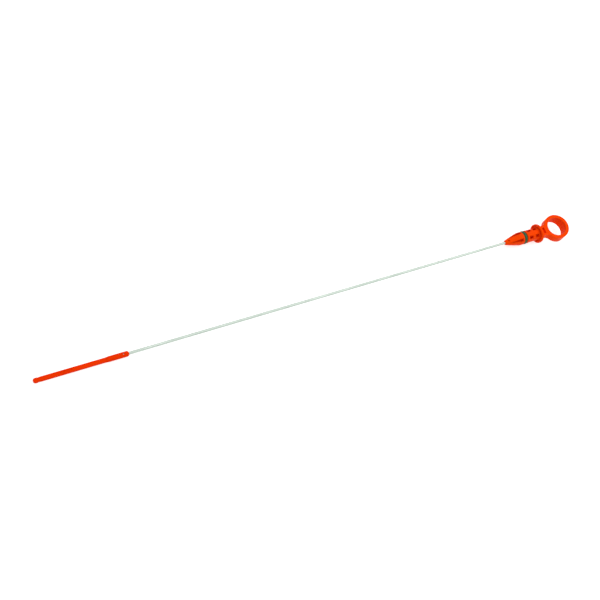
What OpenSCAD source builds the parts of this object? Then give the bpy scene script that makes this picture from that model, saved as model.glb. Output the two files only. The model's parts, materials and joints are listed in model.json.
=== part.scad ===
// Engine oil dipstick, lying as it comes to rest on a flat surface.
// A moulded handle holds a steel rod, a seal ring sits in the handle's groove, and a moulded
// gauge holds the rod's far end. Places along the stick are counted from the centre of the
// finger ring, and grow towards the free end of the gauge.

/* [Finger ring] */
// Diameter of the finger hole
ring_bore_d = 21.6; // [18:0.2:26]
// Radial thickness of the ring
ring_wall = 3.6; // [2.4:0.1:5]
// Width of the ring along its own axis, where it meets the neck
ring_w = 7.4; // [7.4:0.1:10]
// Width of the ring at its far end, to which both faces widen evenly
ring_end_w = 12.2; // [10:0.1:15]

/* [Neck] */
// Gap between the ring's outside and the flange
neck_l = 9.5; // [9:0.1:20]
// Width of the straight part of the neck
neck_w = 12; // [10:0.2:14]
// Thickness of the neck along the ring's axis
neck_t = 7.4; // [6.4:0.1:7.4]
// Radius of the curve from the neck into the ring
neck_fillet = 8; // [4:0.5:9]
// Length of the moulding recess in each face of the neck
neck_pocket_l = 4.0; // [2:0.1:5]
// Width of that recess across the neck
neck_pocket_w = 6.8; // [3:0.2:8]
// Plastic left between the ring's outside and the recess
neck_pocket_wall = 1.2; // [1:0.1:2.4]
// Thickness of the web left between the two recesses
neck_web = 2.2; // [1.2:0.2:4]

/* [Flange] */
// Diameter of the flange
flange_d = 21.2; // [19.8:0.2:26]
// Thickness of the flange at its rim
flange_t = 2.2; // [2:0.1:4]
// Radius on the two edges of the rim
flange_round = 0.5; // [0.2:0.1:0.8]
// Height of the shallow cone on the neck side of the flange
flange_cone_l = 1; // [0.5:0.1:1.2]
// Diameter of that cone at the neck
flange_cone_d = 13; // [11:0.5:16]
// Diameter of the shallow recess that takes the mouth of the tube
seat_d = 17.2; // [15.6:0.2:17.8]
// Depth of that recess
seat_depth = 1.3; // [0.5:0.1:1.4]

/* [Plug] */
// Diameter of the plug between the flange and the rear land
core_d = 13.7; // [12:0.1:13.8]
// Length of the plug from the seat to the rear land
core_l = 15.5; // [13:0.1:24]
// Diameter of the two lands that guide the plug in the tube
land_d = 14.2; // [14:0.1:15]
// Length of solid plug between the seat and the first moulding recess
core_root_l = 2.2; // [0.4:0.1:3]
// Length of the land on the handle side of the seal ring
rear_land_l = 2.4; // [1.5:0.1:6]
// Length of the land on the gauge side of the seal ring
front_land_l = 4.5; // [3.4:0.1:8]
// Bevel on the outer edges of the lands at the groove
land_bevel = 0.3; // [0.1:0.1:0.6]
// Width of the plug's rib, which holds the rod
core_rib_w = 5.2; // [4.6:0.2:6]
// Thickness of the plug's skin beside the moulding recesses
core_skin = 1.5; // [1:0.1:2]
// Thickness of the web in the plug's middle, between the recesses of its two faces
core_mid_t = 2; // [1.2:0.2:5]
// Number of moulding recesses in a row between the flange and the rear land
core_cells = 2; // [1:1:3]
// Thickness of the web between two of these recesses
core_web = 3; // [1.6:0.1:3.2]

/* [Nose] */
// Length of the tapered nose after the front land
nose_l = 18; // [15:0.2:30]
// Diameter of the nose at its rounded end
nose_end_d = 5.4; // [5.2:0.1:8]
// Radius on the end of the nose
nose_round = 1.2; // [0.6:0.1:1.4]
// How far the nose's outline bows out from a straight taper
nose_bow = 0.15; // [0.05:0.05:0.4]
// Plastic left between the groove and the nose's recesses
nose_pocket_wall = 1.9; // [1.5:0.1:3.2]
// Length of the four wedge-shaped recesses in the nose
nose_pocket_l = 15.5; // [8:0.1:16]
// Width of the nose's rib, which holds the rod
nose_rib_w = 5.8; // [5:0.2:6.4]
// Thickness of the nose's skin beside the recesses
nose_skin = 1.6; // [1:0.1:2]
// Thickness of the web in the nose's middle, between the recesses of its two faces
nose_mid_t = 2; // [1.2:0.2:5]
// Distance from the nose's end to the marks of the pins that centred the rod in the mould
pin_mark_inset = 4; // [2.4:0.1:5]
// Diameter of those marks
pin_mark_d = 1.6; // [0.6:0.1:1.8]

/* [Seal ring] */
// Thickness of the seal ring's cord
seal_cord_d = 3.8; // [2.6:0.1:4]
// How far the seal ring stands proud of the lands
seal_proud = 0.24; // [0.1:0.02:0.24]
// Clearance between the seal ring and each side of its groove
seal_side_gap = 0.2; // [0.1:0.05:0.4]

/* [Rod] */
// Diameter of the rod
rod_d = 2.8; // [2:0.1:3]
// Bare length of the rod between the handle and the gauge
rod_free_l = 421.6; // [200:0.2:700]
// Length of the rod inside the handle
rod_handle_l = 38; // [24:0.5:42]
// Length of the rod inside the gauge
rod_gauge_l = 15.5; // [10:0.5:16]

/* [Gauge] */
// Diameter of the socket that holds the rod
socket_d = 5.3; // [5:0.1:7]
// Length of the socket
socket_l = 18.7; // [18:0.1:30]
// Radius on the end of the socket
socket_round = 2.2; // [0.5:0.1:2.4]
// Diameter of the gauge bar across its two rounded sides
bar_d = 4.7; // [4.4:0.1:4.9]
// Length of the gauge bar, from the socket to the free end
bar_l = 67.2; // [56:0.2:120]
// Thickness of the gauge bar between its two flat faces
bar_t = 3; // [2.4:0.1:3.6]
// Length of the ramp from the round socket down to the flat faces
ramp_l = 3; // [1:0.1:6]
// Diameter of the rounded knob at the free end
knob_d = 4.9; // [4.4:0.1:6]
// Length of that knob
knob_l = 5.6; // [5:0.1:8]
// Radius on the two ends of the knob
knob_round = 2.2; // [1.2:0.1:2.2]
// Length of the waist between the bar and the knob
waist_l = 1.4; // [0.8:0.1:3]
// Diameter of that waist
waist_d = 4.4; // [3.8:0.1:4.6]
// Distance from the free end to the lower level mark
low_mark = 24; // [14:0.2:30]
// Distance between the two level marks
mark_gap = 9.4; // [6:0.2:14]
// Diameter of the level marks, round dimples in both flat faces
mark_d = 1.6; // [1:0.1:2]
// Depth of these dimples
mark_depth = 0.5; // [0.2:0.1:0.9]
// Depth of the hatching between the marks
hatch_depth = 0.25; // [0.1:0.05:0.4]
// Width of one hatching groove
hatch_w = 0.45; // [0.3:0.05:0.6]
// Spacing of the hatching grooves along the bar
hatch_pitch = 1.5; // [1.2:0.1:3]
// Distance from the socket's end to the windows that show the rod
window_inset = 5.2; // [4:0.1:8]
// Diameter of those windows
window_d = 1.4; // [1:0.1:2.2]

/* [Hidden] */
$fn = 96;

// What is moulded or stretched round another piece touches it all but for this much
grip_gap = 0.01;
// Plain margin between a level mark and the hatching
hatch_margin = 0.8;
// Depth to which one turned part reaches into the next, so that they are one solid
join = 0.5;
// Longer than any width of the stick, for cuts that run out of it
past = 2 * flange_d;

// Places along the stick
ring_r = ring_bore_d / 2 + ring_wall;
flange_s = ring_r + neck_l;
rim_s = flange_s + flange_t;
seat_s = rim_s - seat_depth;
rear_land_s = seat_s + core_l;
groove_s = rear_land_s + rear_land_l;
groove_w = seal_cord_d + 2 * seal_side_gap;
front_land_s = groove_s + groove_w;
nose_pocket_s = front_land_s + nose_pocket_wall;
nose_s = front_land_s + front_land_l;
nose_end_s = nose_s + nose_l;
socket_s = nose_end_s + rod_free_l;
bar_s = socket_s + socket_l;
end_s = bar_s + bar_l;
rod_s = nose_end_s - rod_handle_l;
rod_l = rod_handle_l + rod_free_l + rod_gauge_l;
high_mark = low_mark + mark_gap;

// Curve from the neck into the ring: its centre, and the point where it touches the ring
fillet_y = neck_w / 2 + neck_fillet;
fillet_s = sqrt(pow(ring_r + neck_fillet, 2) - pow(fillet_y, 2));
touch = ring_r / (ring_r + neck_fillet) * [fillet_s, fillet_y];

// Seal ring and its groove
seal_r = (land_d - seal_cord_d) / 2 + seal_proud;
groove_r = seal_r - seal_cord_d / 2 - grip_gap;
cell_l = (core_l - core_root_l - (core_cells - 1) * core_web) / core_cells;

// Nose outline, from the edge of the front land to where the rounded end begins
nose_ball = [nose_end_d / 2 - nose_round, nose_end_s - nose_round];
nose_start = [land_d / 2, nose_s];
nose_slant = norm(nose_ball - nose_start);
nose_turn = asin(nose_round / nose_slant)
    - atan2(nose_start[0] - nose_ball[0], nose_ball[1] - nose_start[1]);
nose_run = sqrt(nose_slant * nose_slant - nose_round * nose_round);
nose_stop = nose_start + nose_run * [sin(nose_turn), cos(nose_turn)];
nose_arc_r = (nose_run * nose_run / 4 + nose_bow * nose_bow) / (2 * nose_bow);
nose_arc_centre = (nose_start + nose_stop) / 2
    - (nose_arc_r - nose_bow) * [cos(nose_turn), -sin(nose_turn)];

// The stick leans down from the flange's rim to the free end, and both lie on the floor
tip_inset = max(0, (bar_t - knob_d) / 2 + knob_round);
tip_s = end_s - knob_round + sqrt(knob_round * knob_round - tip_inset * tip_inset);
lean_run = tip_s - (rim_s - flange_round);
lean_drop = flange_d / 2 - flange_round - bar_t / 2;
lean = atan2(lean_drop, lean_run) + asin(flange_round / norm([lean_run, lean_drop]));
lift = bar_t / 2 * cos(lean) + tip_s * sin(lean);
ring_x = ring_r * cos(lean) + ring_end_w / 2 * sin(lean);
tip_x = -(end_s - knob_round) * cos(lean)
    - (knob_d / 2 - knob_round) * sin(lean) - knob_round;

// Puts a piece that is drawn along +X into its place in the lying stick
module lie() {
    translate([-(ring_x + tip_x) / 2, 0, lift])
        rotate([0, -lean, 0])
            rotate([0, 0, 180])
                children();
}

// Turns an outline into a solid whose axis is the stick's: first value radius, second place
module turned() {
    rotate([0, 90, 0])
        rotate_extrude()
            children();
}

// Outline of a disc from a to b along the stick, with its two outer edges rounded
module disc_outline(radius, a, b, round) {
    translate([0, a]) square([radius - round, b - a]);
    translate([0, a + round]) square([radius, b - a - 2 * round]);
    translate([radius - round, a + round]) circle(round);
    translate([radius - round, b - round]) circle(round);
}

// Ring whose two faces slope, so that it is widest at its far end
module finger_ring() {
    difference() {
        cylinder(h = ring_end_w, r = ring_r, center = true);
        cylinder(h = 2 * ring_end_w, d = ring_bore_d, center = true);
        for (side = [0, 1])
            mirror([0, 0, side])
                translate([0, past / 2, 0])
                    rotate([90, 0, 0])
                        linear_extrude(past)
                            polygon([
                                [-ring_r, ring_end_w / 2],
                                [ring_r, ring_w / 2],
                                [past, ring_w / 2],
                                [past, past],
                                [-past, past],
                                [-past, ring_end_w / 2]
                            ]);
    }
}

// Neck with its curves into the ring and the recess in each face
module neck() {
    difference() {
        linear_extrude(neck_t, center = true) {
            difference() {
                translate([touch[0], -touch[1]])
                    square([fillet_s - touch[0], 2 * touch[1]]);
                for (side = [-1, 1])
                    translate([fillet_s, side * fillet_y]) circle(neck_fillet);
                circle(ring_r - ring_wall / 2);
            }
            translate([fillet_s, -neck_w / 2])
                square([flange_s - fillet_s + join, neck_w]);
        }
        for (side = [0, 1])
            mirror([0, 0, side])
                translate([ring_r + neck_pocket_wall, -neck_pocket_w / 2, neck_web / 2])
                    cube([neck_pocket_l, neck_pocket_w, neck_t]);
    }
}

// Flange with the shallow cone behind it and the seat for the mouth of the tube
module flange() {
    turned() {
        difference() {
            disc_outline(flange_d / 2, flange_s, rim_s, flange_round);
            translate([0, seat_s]) square([seat_d / 2, flange_t]);
        }
        polygon([
            [0, flange_s - flange_cone_l],
            [flange_cone_d / 2, flange_s - flange_cone_l],
            [flange_d / 2 - flange_round, flange_s],
            [0, flange_s]
        ]);
    }
}

// Plug between the flange and the rear land, cored from both sides of the mould
module core() {
    difference() {
        turned()
            translate([0, seat_s - join])
                square([core_d / 2, core_l + 2 * join]);
        for (cell = [0 : core_cells - 1], across = [0, 1], side = [0, 1])
            mirror([0, across, 0])
                mirror([0, 0, side])
                    translate([
                        seat_s + core_root_l + cell * (cell_l + core_web),
                        core_rib_w / 2,
                        core_mid_t / 2
                    ])
                        cube([cell_l, core_d / 2 - core_skin - core_rib_w / 2, past]);
    }
}

// Rear land, groove and front land, then the nose with its four wedge-shaped recesses
module lands_and_nose() {
    land_r = land_d / 2;
    difference() {
        turned() {
            polygon([
                [0, rear_land_s],
                [land_r, rear_land_s],
                [land_r, groove_s - land_bevel],
                [land_r - land_bevel, groove_s],
                [0, groove_s]
            ]);
            translate([0, groove_s - join]) square([groove_r, groove_w + 2 * join]);
            polygon([
                [0, front_land_s],
                [land_r - land_bevel, front_land_s],
                [land_r, front_land_s + land_bevel],
                nose_start,
                [0, nose_s]
            ]);
            intersection() {
                translate(nose_arc_centre) circle(nose_arc_r, $fn = 720);
                translate([0, nose_s]) square([land_r, nose_stop[1] - nose_s]);
            }
            translate([0, nose_stop[1] - join])
                square([nose_ball[0], nose_end_s - nose_stop[1] + join]);
            intersection() {
                translate(nose_ball) circle(nose_round);
                translate([0, nose_stop[1]]) square([nose_end_d, nose_l]);
            }
        }
        for (across = [0, 1], side = [0, 1])
            mirror([0, across, 0])
                mirror([0, 0, side])
                    translate([0, 0, nose_mid_t / 2])
                        linear_extrude(past)
                            polygon([
                                [nose_pocket_s, nose_rib_w / 2],
                                [nose_pocket_s + nose_pocket_l, nose_rib_w / 2],
                                [nose_s, land_r - nose_skin],
                                [nose_pocket_s, land_r - nose_skin]
                            ]);
    }
}

module handle() {
    color([0.95, 0.27, 0.05])
        lie()
            difference() {
                union() {
                    finger_ring();
                    neck();
                    flange();
                    core();
                    lands_and_nose();
                }
                turned()
                    translate([0, rod_s - grip_gap])
                        square([rod_d / 2 + grip_gap, rod_handle_l + past]);
                translate([nose_end_s - pin_mark_inset, 0, 0])
                    cylinder(h = nose_end_d * 2, d = pin_mark_d, center = true);
            }
}

module seal_ring() {
    color([0.11, 0.43, 0.31])
        lie()
            turned()
                translate([seal_r, groove_s + groove_w / 2])
                    circle(seal_cord_d / 2);
}

module rod() {
    color([0.72, 0.75, 0.72])
        lie()
            turned()
                translate([0, rod_s])
                    square([rod_d / 2, rod_l]);
}

// Hatching of one face, drawn round the middle of the field between the level marks
module hatching() {
    field = mark_gap - mark_d - 2 * hatch_margin;
    lines = ceil(field / hatch_pitch);
    intersection() {
        translate([-field / 2, -bar_d, bar_t / 2 - hatch_depth])
            cube([field, 2 * bar_d, bar_t]);
        for (turn = [-45, 45], line = [-lines : lines])
            translate([line * hatch_pitch, 0, bar_t / 2 - hatch_depth])
                rotate([0, 0, turn])
                    translate([-hatch_w / 2, -bar_d, 0])
                        cube([hatch_w, 2 * bar_d, bar_t]);
    }
}

module gauge() {
    waist_s = end_s - knob_l - waist_l / 2;
    color([0.92, 0.24, 0.04])
        lie()
            difference() {
                turned() {
                    intersection() {
                        disc_outline(socket_d / 2, socket_s, bar_s, socket_round);
                        translate([0, socket_s]) square([socket_d, socket_l - socket_round]);
                    }
                    polygon([
                        [0, bar_s - socket_round],
                        [socket_d / 2, bar_s - socket_round],
                        [socket_d / 2, bar_s],
                        [bar_d / 2, bar_s + ramp_l],
                        [bar_d / 2, waist_s],
                        [waist_d / 2, waist_s + waist_l / 2],
                        [waist_d / 2, waist_s + waist_l],
                        [0, waist_s + waist_l]
                    ]);
                    intersection() {
                        disc_outline(knob_d / 2, end_s - knob_l, end_s, knob_round);
                        translate([0, end_s - knob_l]) square([knob_d, knob_l]);
                    }
                }
                turned()
                    translate([0, socket_s - past])
                        square([rod_d / 2 + grip_gap, past + rod_gauge_l + grip_gap]);
                // The two flat faces, each with its ramp
                for (side = [0, 1])
                    mirror([0, 0, side])
                        translate([0, past / 2, 0])
                            rotate([90, 0, 0])
                                linear_extrude(past)
                                    polygon([
                                        [bar_s, socket_d / 2],
                                        [bar_s + ramp_l, bar_t / 2],
                                        [end_s + past, bar_t / 2],
                                        [end_s + past, past],
                                        [bar_s, past]
                                    ]);
                for (place = [low_mark, high_mark], side = [0, 1])
                    mirror([0, 0, side])
                        translate([end_s - place, 0, bar_t / 2 - mark_depth])
                            cylinder(h = bar_d, d = mark_d);
                for (side = [0, 1])
                    mirror([0, 0, side])
                        translate([end_s - (low_mark + high_mark) / 2, 0, 0])
                            hatching();
                translate([socket_s + window_inset, 0, 0])
                    cylinder(h = 2 * socket_d, d = window_d, center = true);
            }
}

handle();
seal_ring();
rod();
gauge();
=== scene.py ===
"""Looks of an engine oil dipstick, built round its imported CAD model.

The stick lies on a flat floor: the flange's rim and the gauge's free end touch it.
+X runs along the stick towards the finger ring, and +Z is up. Lengths are in metres.
"""

import json
import math

import bpy
import numpy as np
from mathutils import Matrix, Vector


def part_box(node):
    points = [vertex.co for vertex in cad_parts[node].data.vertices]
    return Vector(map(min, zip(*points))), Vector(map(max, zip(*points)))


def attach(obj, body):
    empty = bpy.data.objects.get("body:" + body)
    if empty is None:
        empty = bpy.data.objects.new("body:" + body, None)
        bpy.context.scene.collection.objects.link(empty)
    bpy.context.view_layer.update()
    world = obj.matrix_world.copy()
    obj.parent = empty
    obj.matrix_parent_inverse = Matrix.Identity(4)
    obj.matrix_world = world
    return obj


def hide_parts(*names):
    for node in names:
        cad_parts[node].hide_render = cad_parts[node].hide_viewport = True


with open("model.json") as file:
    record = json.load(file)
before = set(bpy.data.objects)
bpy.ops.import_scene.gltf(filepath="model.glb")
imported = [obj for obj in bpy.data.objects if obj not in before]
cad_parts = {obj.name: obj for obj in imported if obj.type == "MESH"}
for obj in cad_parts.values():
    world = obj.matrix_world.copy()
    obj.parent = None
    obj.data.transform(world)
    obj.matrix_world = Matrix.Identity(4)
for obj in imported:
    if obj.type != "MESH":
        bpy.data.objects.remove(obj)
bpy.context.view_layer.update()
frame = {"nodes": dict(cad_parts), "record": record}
mounts = {mount["name"]: mount for mount in frame["record"]["mounts"]}

# Rod
# Steel wire of 2.8 mm, drawn to size, straightened and cut square. The handle and the gauge are
# moulded over its two ends, and between them it is bare, with fine drawing lines along it.
toward_tip = Vector(mounts["plug"]["axis"])
stick_lean = math.asin(-toward_tip.z)
streak_length = 0.04
streak_width = 0.0004
steel_dark = (0.61, 0.69, 0.63, 1)
steel_bright = (0.77, 0.85, 0.785, 1)
steel_roughness = (0.66, 0.78)
scratch_width = 0.004
scratch_tilt = 0.3
scratch_turns = (0.5, -0.9)
scratch_stretches = (0.06, 0.09)


def new_material(name):
    """An empty node material with its output and its Principled shader."""
    material = bpy.data.materials.new(name)
    material.use_nodes = True
    nodes = material.node_tree.nodes
    nodes.clear()
    output = nodes.new("ShaderNodeOutputMaterial")
    shader = nodes.new("ShaderNodeBsdfPrincipled")
    material.node_tree.links.new(shader.outputs["BSDF"], output.inputs["Surface"])
    return material, shader


def feed(tree, target, **inputs):
    """Sets a node's inputs, by name or as i0, i1 by place: each takes a value or an output."""
    for key, value in inputs.items():
        by_place = key[0] == "i" and key[1:].isdigit()
        socket = target.inputs[int(key[1:]) if by_place else key.replace("_", " ")]
        if isinstance(value, bpy.types.NodeSocket):
            tree.links.new(value, socket)
        else:
            socket.default_value = value


def node(tree, kind, settings=None, **inputs):
    """A new node of this kind, with its settings and its inputs."""
    made = tree.nodes.new("ShaderNode" + kind)
    for key, value in (settings or {}).items():
        setattr(made, key, value)
    feed(tree, made, **inputs)
    return made


def remap(tree, value, low, high, to_low, to_high):
    """The value, with low to high spread over to_low to to_high and held at both ends."""
    spread = node(tree, "MapRange", i0=value, i1=low, i2=high, i3=to_low, i4=to_high)
    return spread.outputs["Result"]


def two_tones(tree, mask, low, high, low_tone, high_tone):
    """The mask as a colour: one tone up to low, the other from high on, and a blend between."""
    ramp = node(tree, "ValToRGB", Fac=mask)
    start, end = ramp.color_ramp.elements
    start.position = low
    start.color = low_tone
    end.position = high
    end.color = high_tone
    return ramp.outputs["Color"]


def effect(name, inputs, outputs):
    """An empty node group: inputs are (name, kind, usual value), and outputs (name, kind)."""
    tree = bpy.data.node_groups.new(name, "ShaderNodeTree")
    for title, kind, usual in inputs:
        socket = tree.interface.new_socket(title, in_out="INPUT", socket_type="NodeSocket" + kind)
        socket.default_value = usual
    for title, kind in outputs:
        tree.interface.new_socket(title, in_out="OUTPUT", socket_type="NodeSocket" + kind)
    return tree, tree.nodes.new("NodeGroupInput").outputs, tree.nodes.new("NodeGroupOutput")


def placed(tree, group, **inputs):
    """One use of a node group, with this material's own values."""
    use = tree.nodes.new("ShaderNodeGroup")
    use.node_tree = group
    feed(tree, use, **inputs)
    return use.outputs


def handling_marks():
    """Smudges from fingers, and hairline scratches in two directions, as two masks. A scratch is
    where noise, stretched along its direction, passes through its middle value."""
    tree, given, out = effect(
        "handling_marks",
        [("Smudges per metre", "Float", 60.0), ("Scratches per metre", "Float", 300.0)],
        [("Smudges", "Float"), ("Scratches", "Float")])
    place = node(tree, "TexCoord").outputs["Object"]
    smudge = node(tree, "TexNoise", Vector=place, Scale=given["Smudges per metre"], Detail=4.0)
    lines = []
    for turn, stretch in zip(scratch_turns, scratch_stretches):
        along = node(tree, "Mapping", Vector=place, Rotation=(scratch_tilt, turn, turn),
                     Scale=(stretch, 1, 1))
        hair = node(tree, "TexNoise", Vector=along.outputs[0],
                    Scale=given["Scratches per metre"], Detail=1.0)
        middle = node(tree, "Math", {"operation": "COMPARE"}, i0=hair.outputs["Fac"], i1=0.5,
                      i2=scratch_width)
        lines.append(middle.outputs[0])
    either = node(tree, "Math", {"operation": "MAXIMUM"}, i0=lines[0], i1=lines[1])
    feed(tree, out, Smudges=remap(tree, smudge.outputs["Fac"], 0.4, 0.7, 0.0, 1.0),
         Scratches=either.outputs[0])
    return tree


marks = handling_marks()


def dress(piece, material):
    """Gives the piece this material and no other."""
    piece.data.materials.clear()
    piece.data.materials.append(material)


def drawn_steel():
    """Bright wire: streaks are noise that is stretched a hundredfold along the rod."""
    material, shader = new_material("drawn_steel")
    tree = material.node_tree
    place = node(tree, "TexCoord").outputs["Object"]
    along = node(tree, "Mapping", {"vector_type": "TEXTURE"}, Vector=place,
                 Rotation=(0, stick_lean, 0), Scale=(streak_length, streak_width, streak_width))
    streaks = node(tree, "TexNoise", Vector=along.outputs[0], Scale=1.0, Detail=4.0).outputs["Fac"]
    worn = placed(tree, marks, Smudges_per_metre=45.0, Scratches_per_metre=500.0)
    grooves = node(tree, "Bump", Height=streaks, Strength=0.3, Distance=0.00002)
    nicks = node(tree, "Bump", {"invert": True}, Height=worn["Scratches"],
                 Strength=0.3, Distance=0.00001, Normal=grooves.outputs[0])
    feed(tree, shader, Base_Color=two_tones(tree, streaks, 0.3, 0.7, steel_dark, steel_bright),
         Roughness=remap(tree, worn["Smudges"], 0.0, 1.0, *steel_roughness),
         Normal=nicks.outputs[0], Metallic=1.0)
    return material


dress(frame["nodes"]["rod"], drawn_steel())

# Handle
# One moulding of orange-red plastic: finger ring, neck, flange, cored plug and tapered nose,
# moulded straight on to the rod's end. Its two mould halves met in the stick's middle plane.
up = Vector(mounts["finger_ring"]["axis"])
middle_height = up.dot(Vector(mounts["finger_ring"]["pos_m"]))
handle_orange = (0.89, 0.056, 0.0006, 1)
handle_rubbed = (0.98, 0.09, 0.004, 1)
handle_edge = 0.0004
satin_roughness = (0.32, 0.42)
gloss_hue = (1, 0.2, 0.02, 1)
line_half_width = 0.00005
line_foot = 0.0001


def moulded_skin():
    """Skin of a moulded part: eased edges, paler where they rub, fine grain, flow marks, and the
    thin raised line where the mould halves met, which is a band round the middle plane."""
    tree, given, out = effect(
        "moulded_skin",
        [("Colour", "Color", handle_orange), ("Rubbed Colour", "Color", handle_rubbed),
         ("Edge Radius", "Float", handle_edge), ("Grain per metre", "Float", 3000.0)],
        [("Color", "Color"), ("Roughness", "Float"), ("Normal", "Vector")])
    place = node(tree, "TexCoord").outputs["Object"]
    faced = node(tree, "NewGeometry").outputs["Normal"]
    eased = node(tree, "Bevel", {"samples": 6}, Radius=given["Edge Radius"]).outputs[0]
    bend = node(tree, "VectorMath", {"operation": "DOT_PRODUCT"}, i0=faced, i1=eased)
    edge = remap(tree, bend.outputs["Value"], 0.99, 0.85, 0.0, 1.0)
    worn = placed(tree, marks, Smudges_per_metre=90.0, Scratches_per_metre=700.0)
    patchy = remap(tree, worn["Smudges"], 0.0, 1.0, 0.3, 1.0)
    rubbed = node(tree, "Math", {"operation": "MULTIPLY"}, i0=edge, i1=patchy).outputs[0]
    flow = node(tree, "TexNoise", Vector=place, Scale=110.0, Detail=3.0, Distortion=0.6)
    tone = node(tree, "HueSaturation", Color=given["Colour"],
                Value=remap(tree, flow.outputs["Fac"], 0.3, 0.7, 0.95, 1.04))
    colour = node(tree, "Mix", {"data_type": "RGBA"}, i0=rubbed, i6=tone.outputs[0],
                  i7=given["Rubbed Colour"])
    grain = node(tree, "TexNoise", Vector=place, Scale=given["Grain per metre"], Detail=2.0)
    height = node(tree, "VectorMath", {"operation": "DOT_PRODUCT"}, i0=place, i1=up)
    off = node(tree, "Math", {"operation": "SUBTRACT"}, i0=height.outputs["Value"], i1=middle_height)
    away = node(tree, "Math", {"operation": "ABSOLUTE"}, i0=off.outputs[0])
    seam = remap(tree, away.outputs[0], line_half_width, line_foot, 1.0, 0.0)
    grained = node(tree, "Bump", Height=grain.outputs["Fac"], Strength=0.35, Distance=0.00003,
                   Normal=eased)
    raised = node(tree, "Bump", Height=seam, Strength=0.6, Distance=0.00005,
                  Normal=grained.outputs[0])
    feed(tree, out, Color=colour.outputs[2], Normal=raised.outputs[0],
         Roughness=remap(tree, worn["Smudges"], 0.0, 1.0, *satin_roughness))
    return tree


skin = moulded_skin()


def moulded_plastic(name, colour, rubbed, edge_radius):
    """Satin plastic. Its gloss keeps the plastic's own hue, as in a pigment that fills it."""
    material, shader = new_material(name)
    tree = material.node_tree
    face = placed(tree, skin, Colour=colour, Rubbed_Colour=rubbed, Edge_Radius=edge_radius)
    feed(tree, shader, Base_Color=face["Color"], Roughness=face["Roughness"],
         Normal=face["Normal"], Specular_IOR_Level=0.05, Specular_Tint=gloss_hue)
    return material


dress(frame["nodes"]["handle"],
      moulded_plastic("handle_plastic", handle_orange, handle_rubbed, handle_edge))

# Seal ring
# A ring of dark green oil-proof rubber, stretched over the plug into its groove. It was
# moulded in two halves, which left a thin flash round its outside.
seal_low, seal_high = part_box("seal_ring")
seal_centre = (seal_low + seal_high) / 2
seal_outside = (seal_high.y - seal_low.y) / 2
seal_cord = 0.0019
flash_height = 0.00004
flash_spread = 0.07
rubber_dark = (0.012, 0.085, 0.030, 1)
rubber_pale = (0.022, 0.115, 0.045, 1)
rubber_roughness = (0.5, 0.68)


def closed_grid(name, points):
    """A mesh of the quads of an array of points that closes on itself in both directions. Their
    corners are in the order that turns the faces of cord_ring outwards."""
    rows, columns = points.shape[:2]
    here = np.arange(rows * columns).reshape(rows, columns)
    down = np.roll(here, -1, 0)
    quads = np.stack([here, np.roll(here, -1, 1), np.roll(down, -1, 1), down], -1)
    mesh = bpy.data.meshes.new(name)
    mesh.from_pydata(points.reshape(-1, 3), [], quads.reshape(-1, 4))
    mesh.shade_smooth()
    piece = bpy.data.objects.new(name, mesh)
    bpy.context.scene.collection.objects.link(piece)
    return piece


def cord_ring(name, turns=180, sides=48):
    """A torus round the stick. At turn a and cord angle b the point is the centre plus
    (R + r cos b) outwards plus r sin b along the stick. R is the radius of the cord's middle
    line, and r is the cord's radius plus the flash, a bell curve over b with its top at 0."""
    a = np.linspace(0, 2 * np.pi, turns, endpoint=False)[:, None, None]
    b = np.linspace(-np.pi, np.pi, sides, endpoint=False)[None, :, None]
    outwards = np.cos(a) * np.array([0, 1.0, 0]) + np.sin(a) * np.array(up)
    r = seal_cord + flash_height * np.exp(-(b / flash_spread) ** 2)
    points = (np.array(seal_centre) + (seal_outside - seal_cord + r * np.cos(b)) * outwards
              + r * np.sin(b) * np.array(toward_tip))
    return closed_grid(name, points)


def green_rubber():
    """Matt rubber with a soft mottle and smudges that dull it a little more."""
    material, shader = new_material("green_rubber")
    tree = material.node_tree
    place = node(tree, "TexCoord").outputs["Object"]
    mottle = node(tree, "TexNoise", Vector=place, Scale=900.0, Detail=4.0).outputs["Fac"]
    worn = placed(tree, marks, Smudges_per_metre=150.0, Scratches_per_metre=900.0)
    pits = node(tree, "Bump", Height=mottle, Strength=0.3, Distance=0.00003)
    feed(tree, shader, Base_Color=two_tones(tree, mottle, 0.35, 0.7, rubber_dark, rubber_pale),
         Roughness=remap(tree, worn["Smudges"], 0.0, 1.0, *rubber_roughness),
         Normal=pits.outputs[0], Specular_IOR_Level=0.35)
    return material


seal_ring = cord_ring("green_seal_ring")
dress(seal_ring, green_rubber())
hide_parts("seal_ring")
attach(seal_ring, "root")

# Gauge
# One moulding of the same plastic over the rod's other end: a round socket with a window right
# through it, a flat-faced bar with two level marks and hatching between them, and a knob.
# These colours are the handle plastic's, painted darker: painted shade for the dimmer light on the
# low bar.
gauge_orange_painted_shade = (0.84, 0.036, 0.0006, 1)
gauge_rubbed_painted_shade = (0.95, 0.07, 0.004, 1)
gauge_edge = 0.00025
dress(frame["nodes"]["gauge"],
      moulded_plastic("gauge_plastic", gauge_orange_painted_shade, gauge_rubbed_painted_shade, gauge_edge))

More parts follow.
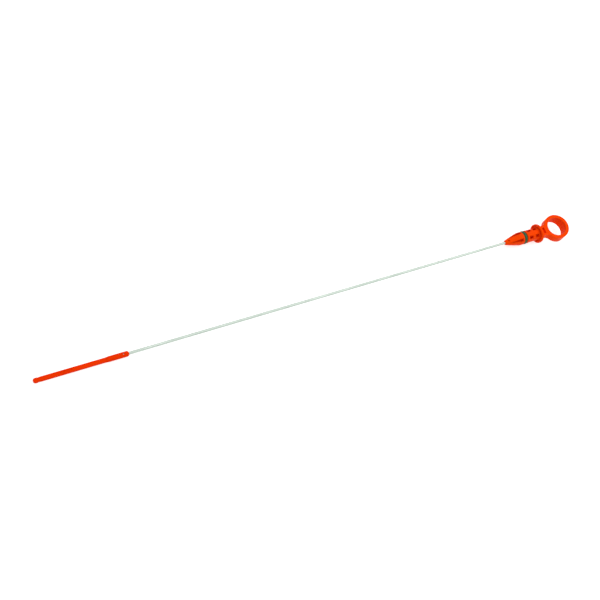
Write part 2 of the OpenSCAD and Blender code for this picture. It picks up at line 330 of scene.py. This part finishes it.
# Floor, light and camera
# A plain white floor under one wide soft light, and the camera where the photograph was taken.
# Paper and sky glow more for the camera than for the stick, so that both look white and the
# shadows stay faint, while the stick's lower faces are still shaded.
floor_size = 8.0
paper_tone = (0.75, 0.75, 0.75, 1)
paper_glow = 0.3
paper_glow_seen = 0.6
sky_glow = 0.5
sky_glow_seen = 1.0
lamp_place = (0.4, 0.05, 1.4)
lamp_size = 2.2
lamp_watts = 21.5
lens_mm = 48.0
sensor_mm = 36.0
nearest_seen = 0.01
camera_place = (-0.32608, -0.22735, 0.70079)
camera_turn_degrees = (24.30642, -14.46064, -22.60702)


def flat_plate(name, size):
    """A square plate at height 0: corners at plus and minus half its size."""
    half = size / 2
    mesh = bpy.data.meshes.new(name)
    mesh.from_pydata([(-half, -half, 0), (half, -half, 0), (half, half, 0), (-half, half, 0)],
                     [], [(0, 1, 2, 3)])
    plate = bpy.data.objects.new(name, mesh)
    bpy.context.scene.collection.objects.link(plate)
    return plate


def glow(tree, usual, seen):
    """The usual strength for rays that light the stick, and the seen one for the camera's."""
    looked_at = node(tree, "LightPath").outputs["Is Camera Ray"]
    return remap(tree, looked_at, 0.0, 1.0, usual, seen)


def soft_light(name, place, size, watts):
    """A square area light that faces the origin, which is under the middle of the stick."""
    lamp = bpy.data.lights.new(name, "AREA")
    lamp.shape = "SQUARE"
    lamp.size = size
    lamp.energy = watts
    holder = bpy.data.objects.new(name, lamp)
    bpy.context.scene.collection.objects.link(holder)
    holder.location = place
    holder.rotation_euler = (-Vector(place)).to_track_quat("-Z", "Y").to_euler()


floor = flat_plate("floor", floor_size)
paper, paper_shader = new_material("white_paper")
feed(paper.node_tree, paper_shader, Base_Color=paper_tone, Roughness=0.9,
     Specular_IOR_Level=0.0, Emission_Strength=1.0,
     Emission_Color=glow(paper.node_tree, paper_glow, paper_glow_seen))
dress(floor, paper)

soft_light("overhead", lamp_place, lamp_size, lamp_watts)
world = bpy.data.worlds.new("studio")
world.use_nodes = True
feed(world.node_tree, world.node_tree.nodes["Background"], Color=(1, 1, 1, 1),
     Strength=glow(world.node_tree, sky_glow, sky_glow_seen))
bpy.context.scene.world = world
bpy.context.scene.view_settings.view_transform = "Standard"

lens = bpy.data.cameras.new("camera")
lens.lens = lens_mm
lens.sensor_width = sensor_mm
lens.clip_start = nearest_seen
camera = bpy.data.objects.new("camera", lens)
bpy.context.scene.collection.objects.link(camera)
camera.location = camera_place
camera.rotation_euler = [math.radians(turn) for turn in camera_turn_degrees]
bpy.context.scene.camera = camera
